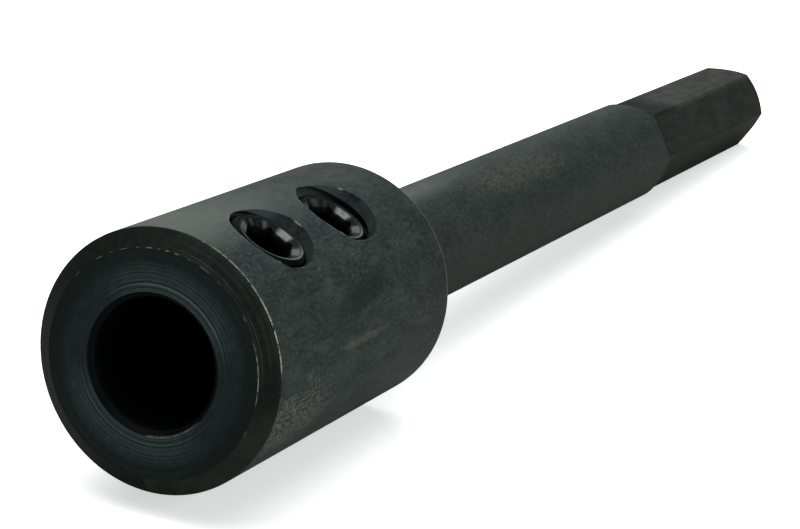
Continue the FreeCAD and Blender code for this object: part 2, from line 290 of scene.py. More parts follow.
def cutter_for(station, phase):
    """What the tap takes out of the collar, with a countersink at its mouth. The cone cuts
    deepest where the collar stands highest, fore and aft of the screw."""
    def radius(z, crest):
        return np.maximum(thread_height(crest, True), SINK_R - (COLLAR_R - z) * SINK_SLOPE)

    z0, z1 = 3.55, 14.4
    verts, faces = helix_surface(z0, z1, phase, radius)
    for z in (z0, z1):
        centre = len(verts)
        verts.append((0.0, 0.0, z))
        rim = []
        for i in range(72):
            angle = 2 * math.pi * i / 72
            crest = z - PITCH * (i / 72) - phase * PITCH
            r = float(radius(np.array(z), np.array(crest)))
            rim.append(len(verts))
            verts.append((r * math.cos(angle), r * math.sin(angle), z))
        faces += [(centre, rim[i], rim[(i + 1) % 72]) for i in range(72)]
    obj = new_object("hole_cutter", to_model(hole_to_local(verts, station)), faces)
    weld(obj, 2e-7)
    return obj


def build_screw(name, station, face, turn, phase):
    """Socket set screw. Its own frame has the tip at z = 0 and a corner of the
    socket along x; the thread's phase is that of the hole it sits in."""
    tip = face - SCREW_L
    # phase of the hole's thread, seen from the turned frame of the screw
    own = (phase + turn / (2 * math.pi) - tip / PITCH) % 1.0

    def radius(z, crest):
        r = thread_height(crest, False)
        r = np.minimum(r, 2.78 + z * (4.66 - 2.78) / 0.9)
        return np.minimum(r, 3.575 + (SCREW_L - z))

    verts, faces = helix_surface(0.0, SCREW_L, own, radius)
    columns = 72
    angles = 2 * math.pi * np.arange(columns) / columns

    def ring(r, z):
        first = len(verts)
        r = np.broadcast_to(r, (columns,))
        z = np.broadcast_to(z, (columns,))
        verts.extend(zip(r * np.cos(angles), r * np.sin(angles), z))
        return first

    def join(a, b):
        for i in range(columns):
            j = (i + 1) % columns
            faces.append((a + i, a + j, b + j, b + i))

    def close(a, z):
        centre = len(verts)
        verts.append((0.0, 0.0, z))
        for i in range(columns):
            faces.append((a + i, a + (i + 1) % columns, centre))

    # socket side
    off = (angles % (math.pi / 3)) - math.pi / 6
    flat = 4.76 / 2
    hexagon = flat / np.cos(off)
    cone = SCREW_L - (3.27 - hexagon) / math.sqrt(3.0)
    chain = [ring(3.575, SCREW_L), ring(3.48, SCREW_L + 0.0), ring(3.31, SCREW_L - 0.004),
             ring(3.25, SCREW_L - 0.03)]
    for share in (0.3, 0.6, 0.9):
        r = 3.25 + (hexagon - 3.25) * share
        chain.append(ring(r, SCREW_L - 0.03 + (cone - SCREW_L + 0.03) * share))
    chain.append(ring(hexagon, cone - 0.03))
    for share in (0.5, 1.0):
        chain.append(ring(hexagon, cone - 0.03 + (SCREW_L - 3.2 - cone + 0.03) * share))
    chain.append(ring(2.3, SCREW_L - 3.2))
    chain.append(ring(1.0, SCREW_L - 3.2 - 0.32))
    for a, b in zip(chain[:-1], chain[1:]):
        join(a, b)
    close(chain[-1], SCREW_L - 3.2 - 0.5)
    # cup point
    chain = [ring(2.78, 0.0), ring(2.60, 0.0), ring(2.42, 0.02), ring(1.6, 0.24),
             ring(0.8, 0.47)]
    for a, b in zip(chain[:-1], chain[1:]):
        join(a, b)
    close(chain[-1], 0.7)

    c, s = math.cos(turn), math.sin(turn)
    v = np.array(verts, float)
    turned = np.stack([v[:, 0] * c - v[:, 1] * s, v[:, 0] * s + v[:, 1] * c,
                       v[:, 2] + tip], axis=1)
    obj = new_object(name, to_model(hole_to_local(turned, station)), faces)
    weld(obj, 2e-7)
    return obj


def cut(obj, tool):
    modifier = obj.modifiers.new("cut", "BOOLEAN")
    modifier.operation = "DIFFERENCE"
    modifier.object = tool
    modifier.solver = "EXACT"
    bpy.context.view_layer.update()
    done = bpy.data.meshes.new_from_object(
        obj.evaluated_get(bpy.context.evaluated_depsgraph_get()))
    obj.modifiers.remove(modifier)
    old = obj.data
    obj.data = done
    bpy.data.meshes.remove(old)
    mesh = tool.data
    bpy.data.objects.remove(tool)
    bpy.data.meshes.remove(mesh)


def finish_mesh(obj, name, sharp_degrees):
    """Triangles, smooth shading and sharp edges."""
    work = bmesh.new()
    work.from_mesh(obj.data)
    bmesh.ops.triangulate(work, faces=work.faces)
    bmesh.ops.remove_doubles(work, verts=work.verts, dist=5e-8)
    bmesh.ops.dissolve_degenerate(work, edges=work.edges, dist=5e-8)
    work.to_mesh(obj.data)
    work.free()
    mesh = obj.data
    mesh.name = name
    mesh.shade_smooth()
    mesh.set_sharp_from_angle(angle=math.radians(sharp_degrees))
    return mesh


def true_round_normals(mesh):
    """Gives the collar, the shaft and the bore the normals of true cylinders."""
    loops = len(mesh.loops)
    normals = np.zeros(loops * 3, np.float32)
    mesh.corner_normals.foreach_get("vector", normals)
    normals = normals.reshape(-1, 3).astype(float)
    corner = np.zeros(loops, np.int64)
    mesh.loops.foreach_get("vertex_index", corner)
    co = np.zeros(len(mesh.vertices) * 3)
    mesh.vertices.foreach_get("co", co)
    local = to_local(co.reshape(-1, 3))
    start = np.zeros(len(mesh.polygons), np.int64)
    mesh.polygons.foreach_get("loop_start", start)
    total = np.zeros(len(mesh.polygons), np.int64)
    mesh.polygons.foreach_get("loop_total", total)
    owner = np.repeat(np.arange(len(mesh.polygons)), total)
    radius = np.hypot(local[:, 1], local[:, 2])
    for want, s0, s1, sign in ((COLLAR_R, CHAMFER_L + 0.09, COLLAR_L - REAR_BREAK - 0.09, 1),
                               (SHAFT_R, COLLAR_L + ROOT - 0.01, HEX_START, 1),
                               (BORE_R, BORE_BREAK + 0.01, BORE_D - 0.02, -1)):
        good = (np.abs(radius - want) < 0.004) & (local[:, 0] > s0) & (local[:, 0] < s1)
        whole = np.ones(len(mesh.polygons), bool)
        np.logical_and.at(whole, owner, good[corner])
        pick = whole[owner]
        flat = local[corner[pick]].copy()
        flat[:, 0] = 0.0
        flat /= np.linalg.norm(flat, axis=1)[:, None]
        normals[pick] = sign * (flat @ RY.T)
    mesh.normals_split_custom_set([tuple(n) for n in normals])


bar = build_bar()
for hole_station, hole_phase in zip(STATIONS, PHASES):
    cut(bar, cutter_for(hole_station, hole_phase))
true_round_normals(finish_mesh(bar, "extension_bar", 12.0))
screws = []
for screw_name, *numbers in zip(("set_screw_1", "set_screw_2"), STATIONS, FACES, TURNS, PHASES):
    screw = build_screw(screw_name, *numbers)
    finish_mesh(screw, screw_name, 24.0)
    screws.append(screw)


# --------------------------------------------------------------- materials
class Graph:
    """Short names for building a material's nodes."""

    def __init__(self, name):
        self.material = bpy.data.materials.new(name)
        self.material.use_nodes = True
        self.tree = self.material.node_tree
        self.tree.nodes.clear()
        self.output = self.tree.nodes.new("ShaderNodeOutputMaterial")
        self.shader = self.tree.nodes.new("ShaderNodeBsdfPrincipled")
        self.tree.links.new(self.shader.outputs[0], self.output.inputs["Surface"])

    def put(self, socket, value):
        if isinstance(value, bpy.types.NodeSocket):
            self.tree.links.new(value, socket)
        else:
            socket.default_value = value

    def math(self, operation, a, b=0.0, c=0.0):
        node = self.tree.nodes.new("ShaderNodeMath")
        node.operation = operation
        for i, v in enumerate((a, b, c)):
            self.put(node.inputs[i], v)
        return node.outputs[0]

    def times(self, first, *others):
        for other in others:
            first = self.math("MULTIPLY", first, other)
        return first

    def ramp(self, value, low, high, to_low=0.0, to_high=1.0):
        """Smooth step of a value from one range to another."""
        node = self.tree.nodes.new("ShaderNodeMapRange")
        node.interpolation_type = "SMOOTHSTEP"
        for name, v in (("Value", value), ("From Min", low), ("From Max", high),
                        ("To Min", to_low), ("To Max", to_high)):
            self.put(node.inputs[name], v)
        return node.outputs["Result"]

    def near(self, value, middle, inner, outer):
        """1 within inner of the middle, falling to 0 at outer."""
        away = self.math("ABSOLUTE", self.math("SUBTRACT", value, middle))
        return self.ramp(away, inner, outer, 1.0, 0.0)

    def noise(self, vector, scale, detail=2.0, rough=0.5, lacunarity=2.0, dims="3D", w=None):
        node = self.tree.nodes.new("ShaderNodeTexNoise")
        node.noise_dimensions = dims
        if dims != "1D":
            self.put(node.inputs["Vector"], vector)
        if w is not None:
            self.put(node.inputs["W"], w)
        node.inputs["Scale"].default_value = scale
        node.inputs["Detail"].default_value = detail
        node.inputs["Roughness"].default_value = rough
        node.inputs["Lacunarity"].default_value = lacunarity
        return node.outputs[0]

    def mix(self, share, a, b):
        node = self.tree.nodes.new("ShaderNodeMix")
        node.data_type = "RGBA"
        self.put(node.inputs[0], share)
        self.put(node.inputs[6], a)
        self.put(node.inputs[7], b)
        return node.outputs[2]

    def mix_float(self, share, a, b):
        node = self.tree.nodes.new("ShaderNodeMix")
        node.data_type = "FLOAT"
        self.put(node.inputs[0], share)
        self.put(node.inputs[2], a)
        self.put(node.inputs[3], b)
        return node.outputs[0]

    def combine(self, x, y, z):
        node = self.tree.nodes.new("ShaderNodeCombineXYZ")
        for i, v in enumerate((x, y, z)):
            self.put(node.inputs[i], v)
        return node.outputs[0]

    def separate(self, vector):
        node = self.tree.nodes.new("ShaderNodeSeparateXYZ")
        self.put(node.inputs[0], vector)
        return node.outputs

    def scaled(self, vector, factors):
        node = self.tree.nodes.new("ShaderNodeVectorMath")
        node.operation = "MULTIPLY"
        self.put(node.inputs[0], vector)
        node.inputs[1].default_value = factors
        return node.outputs[0]

    def place(self, matrix):
        """Object coordinates carried by a matrix from metres to millimetres of another frame."""
        source = self.tree.nodes.new("ShaderNodeTexCoord")
        node = self.tree.nodes.new("ShaderNodeMapping")
        node.vector_type = "POINT"
        self.put(node.inputs["Vector"], source.outputs["Object"])
        rotation = matrix.to_3x3().normalized()
        node.inputs["Location"].default_value = matrix.to_translation()
        node.inputs["Rotation"].default_value = rotation.to_euler("XYZ")
        node.inputs["Scale"].default_value = (1000.0, 1000.0, 1000.0)
        return node.outputs["Vector"]

    def bump(self, height, distance, normal=None, strength=1.0):
        node = self.tree.nodes.new("ShaderNodeBump")
        node.inputs["Strength"].default_value = strength
        node.inputs["Distance"].default_value = distance
        self.put(node.inputs["Height"], height)
        if normal is not None:
            self.put(node.inputs["Normal"], normal)
        return node.outputs["Normal"]


def colour(r, g, b):
    return (r, g, b, 1.0)


# linear colours of the black oxide
TEAL = (0.0248, 0.0370, 0.0352)
DEEP_TEAL = (0.0175, 0.0295, 0.0285)
WARM = (0.0310, 0.0395, 0.0362)
PALE = (0.0520, 0.0620, 0.0560)
DARK = (0.0100, 0.0150, 0.0140)
FACE_IN = (0.0255, 0.0410, 0.0400)
FACE_OUT = (0.0105, 0.0162, 0.0142)
FACE_DARK = (0.0072, 0.0118, 0.0108)


def into(rotation, origin):
    """Matrix from model metres to millimetres in a frame given by its axes and origin."""
    inverse = Matrix([list(row) for row in np.asarray(rotation).T])
    move = inverse @ Vector([-float(c) for c in origin])
    out = inverse.to_4x4()
    out.translation = move
    return out


def bar_material():
    g = Graph("black_oxide_bar")
    at = g.place(into(RY, MOUTH))
    s, y, z = g.separate(at)
    r = g.math("SQRT", g.math("ADD", g.math("MULTIPLY", y, y), g.math("MULTIPLY", z, z)))
    angle = g.math("ARCTAN2", y, z)

    on_face = g.times(g.ramp(s, 0.02, 0.07, 1.0, 0.0), g.ramp(r, 6.7, 6.9))
    in_chamfer = g.times(g.ramp(s, 1.2, 1.32, 1.0, 0.0), g.ramp(r, 10.93, 11.02))
    mouth_break_shade = g.times(g.ramp(s, 0.5, 0.6, 1.0, 0.0), g.ramp(r, 6.85, 6.9, 1.0, 0.0))
    bore_shade = g.times(g.ramp(r, 6.40, 6.50, 1.0, 0.0), g.ramp(s, 37.8, 38.4, 1.0, 0.0))
    on_shaft = g.times(g.ramp(s, 39.7, 40.2), g.ramp(s, 128.0, 133.0, 1.0, 0.0))
    on_hex = g.ramp(s, 130.6, 132.6)
    on_collar = g.times(g.ramp(s, 1.25, 1.4), g.ramp(s, 39.6, 39.75, 1.0, 0.0))

    # cloudy tint of the oxide, fine grain, pale specks and dark pin marks
    cloud = g.noise(g.scaled(at, (0.055, 0.11, 0.11)), 1.0, 3.0, 0.55)
    patch = g.noise(g.scaled(at, (0.16, 0.3, 0.3)), 1.0, 4.0, 0.6)
    drawn = g.scaled(at, (0.42, 1.0, 1.0))
    mottle = g.noise(drawn, 1.05, 3.0, 0.6)
    grain = g.noise(drawn, 2.9, 3.0, 0.65)
    dots = g.noise(g.scaled(at, (0.6, 1.0, 1.0)), 3.5, 2.0, 0.55)
    rare = g.ramp(g.noise(drawn, 1.9, 3.0, 0.7), 0.68, 0.75)
    teal = colour(*TEAL)
    warm = colour(*WARM)
    base = g.mix(g.ramp(cloud, 0.38, 0.64), teal, warm)
    base = g.mix(g.times(g.ramp(patch, 0.45, 0.75), 0.45), base, colour(*PALE))
    base = g.mix(g.times(g.ramp(mottle, 0.36, 0.62, 1.0, 0.0), 0.30), base, colour(*DEEP_TEAL))
    base = g.mix(g.ramp(grain, 0.36, 0.60, 0.70, 0.0), base, colour(*DARK))
    base = g.mix(g.ramp(g.noise(drawn, 1.75, 4.0, 0.75), 0.38, 0.56, 0.40, 0.0), base, colour(*DARK))
    wide = g.noise(drawn, 0.55, 3.0, 0.6)
    calm = g.mix_float(on_shaft, 1.0, 0.55)
    base = g.mix(g.times(g.ramp(wide, 0.44, 0.66, 0.0, 0.26), calm), base,
                 colour(0.060, 0.070, 0.061))
    base = g.mix(g.times(g.ramp(wide, 0.30, 0.46, 0.24, 0.0), calm), base, colour(*DARK))
    base = g.mix(g.times(g.ramp(dots, 0.56, 0.74, 0.0, 0.27), calm),
                 base, colour(0.115, 0.130, 0.116))
    base = g.mix(g.times(rare, 0.22), base, colour(0.17, 0.17, 0.15))
    # painted light: the top of the collar's near half and of the shaft's near end are painted paler,
    # where the light from above falls
    lit_collar_top = g.ramp(angle, -0.55, 0.0)
    near_half = g.ramp(s, 30.0, 3.0)
    base = g.mix(g.times(lit_collar_top, near_half, on_collar, 0.48), base, colour(0.135, 0.150, 0.138))
    lit_shaft_top = g.times(g.ramp(s, 80.0, 48.0), on_shaft, g.ramp(angle, -0.50, 0.10))
    base = g.mix(g.times(lit_shaft_top, g.ramp(patch, 0.30, 0.60, 0.40, 0.70)), base,
                 colour(0.118, 0.130, 0.120))
    # the far half of the bar is a little duller and browner
    dull = g.math("ADD", g.times(g.ramp(s, 22.0, 38.0), on_collar, 0.16),
                  g.times(on_shaft, g.ramp(angle, 0.1, -0.5), 0.20))
    base = g.mix(dull, base, colour(0.0200, 0.0150, 0.0125))
    # painted light: a paler band along the collar's lower side, where light from the floor falls
    base = g.mix(g.times(on_collar, g.ramp(angle, -1.85, -2.20), 0.22), base,
                 colour(0.075, 0.082, 0.074))

    # a long faint brownish patch on the shaft, rubbed in the middle
    tan_at = g.combine(g.math("MULTIPLY", g.math("SUBTRACT", s, 82.0), 0.058),
                       g.math("MULTIPLY", g.math("SUBTRACT", angle, -0.52), 2.6), 0.0)
    tan_far = g.tree.nodes.new("ShaderNodeVectorMath")
    tan_far.operation = "LENGTH"
    g.put(tan_far.inputs[0], tan_at)
    tan = g.math("ADD", tan_far.outputs["Value"],
                 g.math("MULTIPLY", g.math("SUBTRACT", patch, 0.5), 1.1))
    tan = g.times(on_shaft, g.ramp(tan, 0.30, 1.15, 1.0, 0.0))
    base = g.mix(g.times(tan, g.ramp(grain, 0.36, 0.62, 0.08, 0.30)), base,
                 colour(0.115, 0.102, 0.076))

    # shank and its flats are a browner grey; painted shade darkens their underside and the arcs that the
    # cutter left
    brown = g.mix(g.ramp(mottle, 0.40, 0.62), colour(0.0110, 0.0135, 0.0118),
                  colour(0.0210, 0.0215, 0.0180))
    base = g.mix(g.times(on_hex, g.ramp(patch, 0.30, 0.70, 0.50, 0.92)), base, brown)
    # painted shade: the underside of the shaft and the hexagon is painted darker
    shaded_underside = g.ramp(g.math("ABSOLUTE", angle), 1.25, 1.75)
    shaded_underside = g.times(shaded_underside, g.ramp(s, 40.0, 42.0))
    base = g.mix(g.times(shaded_underside, 0.45), base, colour(0.016, 0.0155, 0.0120))
    # painted shade on the concave arcs of the cutter; the first few millimetres of the top flat are
    # darker too
    shaded_arcs_and_dark_flat_start = g.times(g.ramp(s, 129.8, 130.4), g.ramp(s, 133.2, 134.6, 1.0, 0.0),
                  g.ramp(r, 6.66, 6.60))
    top_start = g.times(on_hex, g.ramp(g.math("ABSOLUTE", angle), 0.56, 0.64, 1.0, 0.0),
                        g.ramp(g.math("ADD", s, g.math("MULTIPLY", patch, 4.0)),
                               140.6, 143.4, 1.0, 0.0))
    shaded_arcs_and_dark_flat_start = g.math("MAXIMUM", shaded_arcs_and_dark_flat_start, top_start)
    base = g.mix(g.times(shaded_arcs_and_dark_flat_start, 0.80), base, colour(0.0075, 0.0085, 0.0072))
    # painted light: the top flat of the hexagon is painted paler, as it faces the light above
    lit_top_flat = g.times(on_hex, g.ramp(g.math("ABSOLUTE", angle), 0.56, 0.64, 1.0, 0.0),
                       g.ramp(s, 141.0, 146.0))
    base = g.mix(g.times(lit_top_flat, g.ramp(wide, 0.36, 0.60, 0.10, 0.36),
                         g.ramp(s, 150.0, 162.0, 1.25, 0.85)), base,
                 colour(0.074, 0.072, 0.060))

    # turning marks: rings on the end face and the chamfer, lines round the collar and shaft
    rings = g.noise(None, 5.6, 3.0, 0.85, dims="1D", w=r)
    rings_fine = g.noise(None, 19.0, 2.0, 0.7, dims="1D", w=r)
    lines = g.noise(None, 3.1, 4.0, 0.75, dims="1D", w=s)
    face_tone = g.mix(g.ramp(r, 8.6, 10.2), colour(*FACE_IN), colour(*FACE_OUT))
    face_tone = g.mix(g.ramp(mottle, 0.40, 0.62, 0.45, 0.0), face_tone, colour(*FACE_DARK))
    face_tone = g.mix(g.ramp(dots, 0.60, 0.75, 0.0, 0.45), face_tone,
                      colour(0.040, 0.050, 0.045))
    base = g.mix(on_face, base, face_tone)
    # painted shade and painted sheen: the left and right of the end face are painted darker, and the
    # turning rings are painted strongest at its top and bottom
    upright = g.math("ABSOLUTE", g.math("COSINE", g.math("ADD", angle, 0.30)))
    ring_sheen_side = g.ramp(upright, 0.40, 0.92, 0.08, 1.0)
    base = g.mix(g.times(on_face, g.ramp(upright, 0.30, 0.90, 0.55, 0.0)), base,
                 colour(*FACE_DARK))
    wander_r = g.math("ADD", r, g.math("MULTIPLY", g.math("SUBTRACT", patch, 0.5), 0.25))
    ring_marks_and_sheen = g.times(on_face, g.ramp(wander_r, 7.7, 9.7, 1.0, 0.14), ring_sheen_side)
    base = g.mix(g.times(ring_marks_and_sheen, g.ramp(rings, 0.53, 0.60), 0.75), base,
                 colour(0.098, 0.130, 0.128))
    base = g.mix(g.times(ring_marks_and_sheen, g.ramp(rings, 0.38, 0.47, 1.0, 0.0), 0.75), base,
                 colour(0.0030, 0.0056, 0.0058))
    base = g.mix(g.times(ring_marks_and_sheen, g.ramp(rings_fine, 0.54, 0.62), 0.40), base,
                 colour(0.075, 0.105, 0.104))
    base = g.mix(g.times(ring_marks_and_sheen, g.ramp(rings_fine, 0.38, 0.46, 1.0, 0.0), 0.40), base,
                 colour(0.0035, 0.0055, 0.0055))
    # painted highlight: a pale arc on the end face near the bore's mouth, at its upper right
    painted_ring_highlight = g.times(on_face, g.near(r, 7.55, 0.05, 0.17),
                        g.ramp(angle, -1.25, -0.80), g.ramp(angle, 0.45, 0.10))
    base = g.mix(g.times(painted_ring_highlight, 0.55), base, colour(0.100, 0.130, 0.126))
    # painted shade: the break at the bore's mouth is painted nearly black
    base = g.mix(mouth_break_shade, base, colour(0.0022, 0.0034, 0.0034))
    base = g.mix(in_chamfer, base, g.mix(g.ramp(mottle, 0.4, 0.6), colour(0.0062, 0.0092, 0.0080),
                                         colour(0.0098, 0.0135, 0.0108)))
    # painted light: the lower part of the front chamfer is painted paler, where light from the floor
    # falls
    base = g.mix(g.times(in_chamfer, g.ramp(angle, -1.62, -1.90), g.ramp(patch, 0.30, 0.60, 0.35, 0.8)),
                 base, colour(0.0270, 0.0310, 0.0235))
    slant = g.math("ADD", s, r)
    wander = g.math("ADD", slant, g.math("MULTIPLY", g.math("SUBTRACT", patch, 0.5), 0.22))
    ridges = g.noise(None, 4.6, 3.0, 0.8, dims="1D", w=wander)
    ridge_side = g.times(g.ramp(angle, -1.65, -1.20), g.ramp(angle, 0.05, -0.45))
    base = g.mix(g.times(in_chamfer, g.ramp(ridges, 0.55, 0.61), ridge_side,
                         g.ramp(patch, 0.32, 0.56), 0.66), base, colour(0.072, 0.088, 0.084))
    glint = g.times(g.ramp(s, 1.3, 1.2), g.ramp(r, 6.9, 7.0),
                    g.ramp(g.noise(at, 1.35, 2.0, 0.5), 0.765, 0.785))
    base = g.mix(g.times(glint, 0.8), base, colour(0.40, 0.42, 0.38))
    base = g.mix(g.times(on_shaft, g.ramp(lines, 0.5, 0.7), 0.12), base, colour(0.07, 0.078, 0.072))
    # painted shade: the bore is painted near-black, darker further in
    base = g.mix(bore_shade, base, g.mix(g.ramp(s, 0.4, 1.5), colour(0.0042, 0.0064, 0.0062),
                                      colour(0.0012, 0.0014, 0.0014)))

    # scuffs: a dull dark smudge and a pale long scratch on the collar, as light wear
    def blot(middle_s, middle_angle, per_mm, per_radian, uneven, source, lean=0.0):
        along = g.math("SUBTRACT", s, middle_s)
        turned = g.math("SUBTRACT", g.math("SUBTRACT", angle, middle_angle),
                        g.math("MULTIPLY", along, lean))
        flat = g.combine(g.math("MULTIPLY", along, per_mm),
                         g.math("MULTIPLY", turned, per_radian), 0.0)
        length = g.tree.nodes.new("ShaderNodeVectorMath")
        length.operation = "LENGTH"
        g.put(length.inputs[0], flat)
        return g.math("ADD", length.outputs["Value"],
                      g.math("MULTIPLY", g.math("SUBTRACT", source, 0.5), uneven))

    smudge = g.times(on_collar, g.ramp(blot(20.5, -1.17, 0.14, 8.0, 1.4, patch, 0.010),
                                       0.35, 1.05, 1.0, 0.0), g.ramp(r, 12.5, 12.6))
    base = g.mix(g.times(smudge, g.ramp(grain, 0.35, 0.60, 0.90, 0.62)), base,
                 colour(0.011, 0.0160, 0.0130))
    scratch = g.times(on_collar, g.ramp(blot(18.5, -1.49, 0.14, 26.0, 1.7, mottle),
                                        0.4, 1.0, 1.0, 0.0), g.ramp(r, 12.5, 12.6))
    base = g.mix(g.times(scratch, 0.30), base, colour(0.125, 0.125, 0.105))
    pale_low = g.times(on_collar, g.ramp(blot(5.5, -1.90, 0.11, 3.0, 1.7, patch),
                                         0.4, 1.1, 1.0, 0.0), g.ramp(dots, 0.42, 0.64))
    base = g.mix(g.times(pale_low, 0.60), base, colour(0.165, 0.165, 0.140))

    # wear to bright metal along the edges, broken up round the circumference, and a painted highlight at
    # the bottom of the bore's mouth
    around = g.combine(g.math("MULTIPLY", g.math("SINE", angle), 9.0),
                       g.math("MULTIPLY", g.math("COSINE", angle), 9.0), g.math("MULTIPLY", s, 0.3))
    broken = g.noise(around, 1.6, 4.0, 0.75)
    worn_side = g.times(g.ramp(angle, -1.50, -1.34), g.ramp(angle, -1.05, -0.35, 1.0, 0.25))
    worn_side = g.times(worn_side, g.ramp(angle, -0.35, -0.15, 1.0, 0.0))
    outer_edge = g.times(g.near(s, CHAMFER_L, 0.04, 0.10), g.near(r, COLLAR_R, 0.04, 0.11))
    outer = g.times(outer_edge, g.math("ADD", g.times(worn_side, g.ramp(broken, 0.36, 0.54)),
                                       g.times(g.ramp(broken, 0.64, 0.76), 0.10)))
    inner_edge = g.times(g.near(r, COLLAR_R - CHAMFER_D, 0.012, 0.050),
                         g.ramp(s, 0.05, 0.2, 1.0, 0.0))
    inner_zone = g.times(g.ramp(angle, -1.74, -1.62), g.ramp(angle, -1.30, -1.12, 1.0, 0.0),
                         g.ramp(broken, 0.36, 0.56), 0.72)
    for middle, half, strength in ((0.88, 0.04, 0.18), (0.61, 0.04, 0.34), (0.48, 0.02, 0.16),
                                   (0.36, 0.04, 0.26), (0.22, 0.02, 0.20), (0.11, 0.035, 0.50),
                                   (0.02, 0.02, 0.22), (-0.06, 0.022, 0.58), (-0.15, 0.025, 0.60),
                                   (-0.27, 0.02, 0.18), (-0.43, 0.06, 0.22), (-0.60, 0.03, 0.14),
                                   (-0.96, 0.03, 0.30), (-1.98, 0.04, 0.16)):
        inner_zone = g.math("MAXIMUM", inner_zone,
                            g.times(g.near(angle, middle, half * 0.5, half), strength))
    inner = g.times(inner_edge, inner_zone)
    # painted highlight: bright metal colour at the bottom of the bore's mouth, where its edge catches
    # the light
    mouth = g.times(g.near(r, BORE_R + BORE_BREAK, 0.04, 0.12), g.ramp(s, 0.1, 0.3, 1.0, 0.0),
                    g.ramp(broken, 0.25, 0.60),
                    g.times(g.ramp(angle, -2.20, -2.45), 0.20))
    rear = g.times(g.near(s, COLLAR_L - REAR_BREAK, 0.06, 0.13), g.ramp(r, 12.4, 12.55),
                   g.ramp(broken, 0.25, 0.60, 0.35, 1.0), g.ramp(angle, -0.1, -0.6),
                   g.ramp(angle, -1.75, -1.40), 0.42)
    holes = None
    for station in STATIONS:
        along = g.math("SUBTRACT", s, station)
        across = g.math("ADD", g.math("MULTIPLY", y, math.cos(LEAN)),
                        g.math("MULTIPLY", z, math.sin(LEAN)))
        up = g.math("ADD", g.math("MULTIPLY", y, -math.sin(LEAN)),
                    g.math("MULTIPLY", z, math.cos(LEAN)))
        rho = g.math("SQRT", g.math("ADD", g.math("MULTIPLY", along, along),
                                    g.math("MULTIPLY", across, across)))
        cone = g.math("ADD", g.math("SUBTRACT", rho, SINK_R),
                      g.math("MULTIPLY", g.math("SUBTRACT", COLLAR_R, up), SINK_SLOPE))
        rim = g.times(g.near(cone, 0.0, 0.05, 0.14), g.ramp(r, 12.55, 12.66), g.ramp(up, 8.0, 9.0))
        wall = g.times(g.ramp(r, 12.694, 12.688), g.ramp(r, 6.45, 6.60), g.ramp(up, 4.0, 5.0),
                       g.ramp(rho, 5.4, 5.5, 1.0, 0.0))
        # flecks where the edge has been knocked bright, by their bearing round the hole
        bearing = g.math("ARCTAN2", across, along)
        fleck = g.times(g.ramp(broken, 0.38, 0.62), g.ramp(along, 2.5, -1.5), 0.10)
        for middle, half, strength in FLECKS[station]:
            fleck = g.math("MAXIMUM", fleck, g.times(
                g.near(bearing, math.radians(middle), math.radians(half * 0.4),
                       math.radians(half)), strength))
        side = g.times(wall, g.ramp(across, 0.8, 3.0))
        pair = (g.times(rim, fleck), wall, side,
                g.times(wall, g.ramp(across, -0.6, -2.2)))
        holes = pair if holes is None else tuple(
            g.math("MAXIMUM", a, b) for a, b in zip(holes, pair))
    corner = g.math("ABSOLUTE", g.math("SUBTRACT", g.math("FRACT", g.math(
        "MULTIPLY", g.math("ADD", angle, math.pi * 2), 3.0 / math.pi)), 0.5))
    hex_edge = g.times(on_hex, g.ramp(corner, 0.016, 0.004), g.ramp(patch, 0.50, 0.66), 0.07)
    end_edge = g.times(g.near(r, END_R, 0.06, 0.2), g.ramp(s, 180.2, 180.4),
                       g.ramp(broken, 0.36, 0.6), 0.35)
    # painted shade inside the screw holes: the threaded walls are painted dark, with painted light on
    # one side and deeper painted shade on the other
    wall_tone_and_shade = g.mix(g.ramp(mottle, 0.42, 0.60), colour(0.0060, 0.0095, 0.0085),
                      colour(0.0175, 0.0215, 0.0230))
    wall_tone_and_shade = g.mix(g.ramp(g.noise(at, 2.3, 2.0, 0.6), 0.58, 0.68, 0.0, 0.4), wall_tone_and_shade,
                      colour(0.050, 0.056, 0.056))
    wall_tone_and_shade = g.mix(g.times(holes[2], g.ramp(patch, 0.3, 0.6, 0.35, 0.70)), wall_tone_and_shade,
                      colour(0.050, 0.066, 0.063))
    wall_tone_and_shade = g.mix(g.times(holes[3], 0.50), wall_tone_and_shade, colour(0.0045, 0.0080, 0.0068))
    base = g.mix(g.times(holes[1], 0.96), base, wall_tone_and_shade)
    wear_and_highlight = outer
    for part in (inner, mouth, rear, holes[0], hex_edge, end_edge):
        wear_and_highlight = g.math("MAXIMUM", wear_and_highlight, part)
    wear_and_highlight = g.math("MINIMUM", wear_and_highlight, 1.0)
    base = g.mix(wear_and_highlight, base, colour(0.52, 0.49, 0.43))

    # finish
    rough = g.math("ADD", g.math("ADD", 0.44, g.times(on_hex, 0.12)),
                   g.math("MULTIPLY", mottle, 0.18))
    rough = g.mix_float(wear_and_highlight, rough, 0.26)
    metal = g.mix_float(wear_and_highlight, 0.0, 1.0)
    pits = g.bump(g.noise(at, 7.0, 3.0, 0.6), 6e-6)
    height = g.math("ADD", g.times(rings, on_face, 1.3), g.times(lines, on_shaft, 0.3))
    height = g.math("ADD", height, g.times(ridges, in_chamfer, 1.3))
    height = g.math("ADD", height, g.times(lines, on_collar, 0.2))
    marks = g.bump(height, 7e-6, pits)
    g.put(g.shader.inputs["Base Color"], base)
    g.put(g.shader.inputs["Roughness"], rough)
    g.put(g.shader.inputs["Metallic"], metal)
    g.put(g.shader.inputs["Normal"], marks)
    g.shader.inputs["Specular IOR Level"].default_value = 0.055
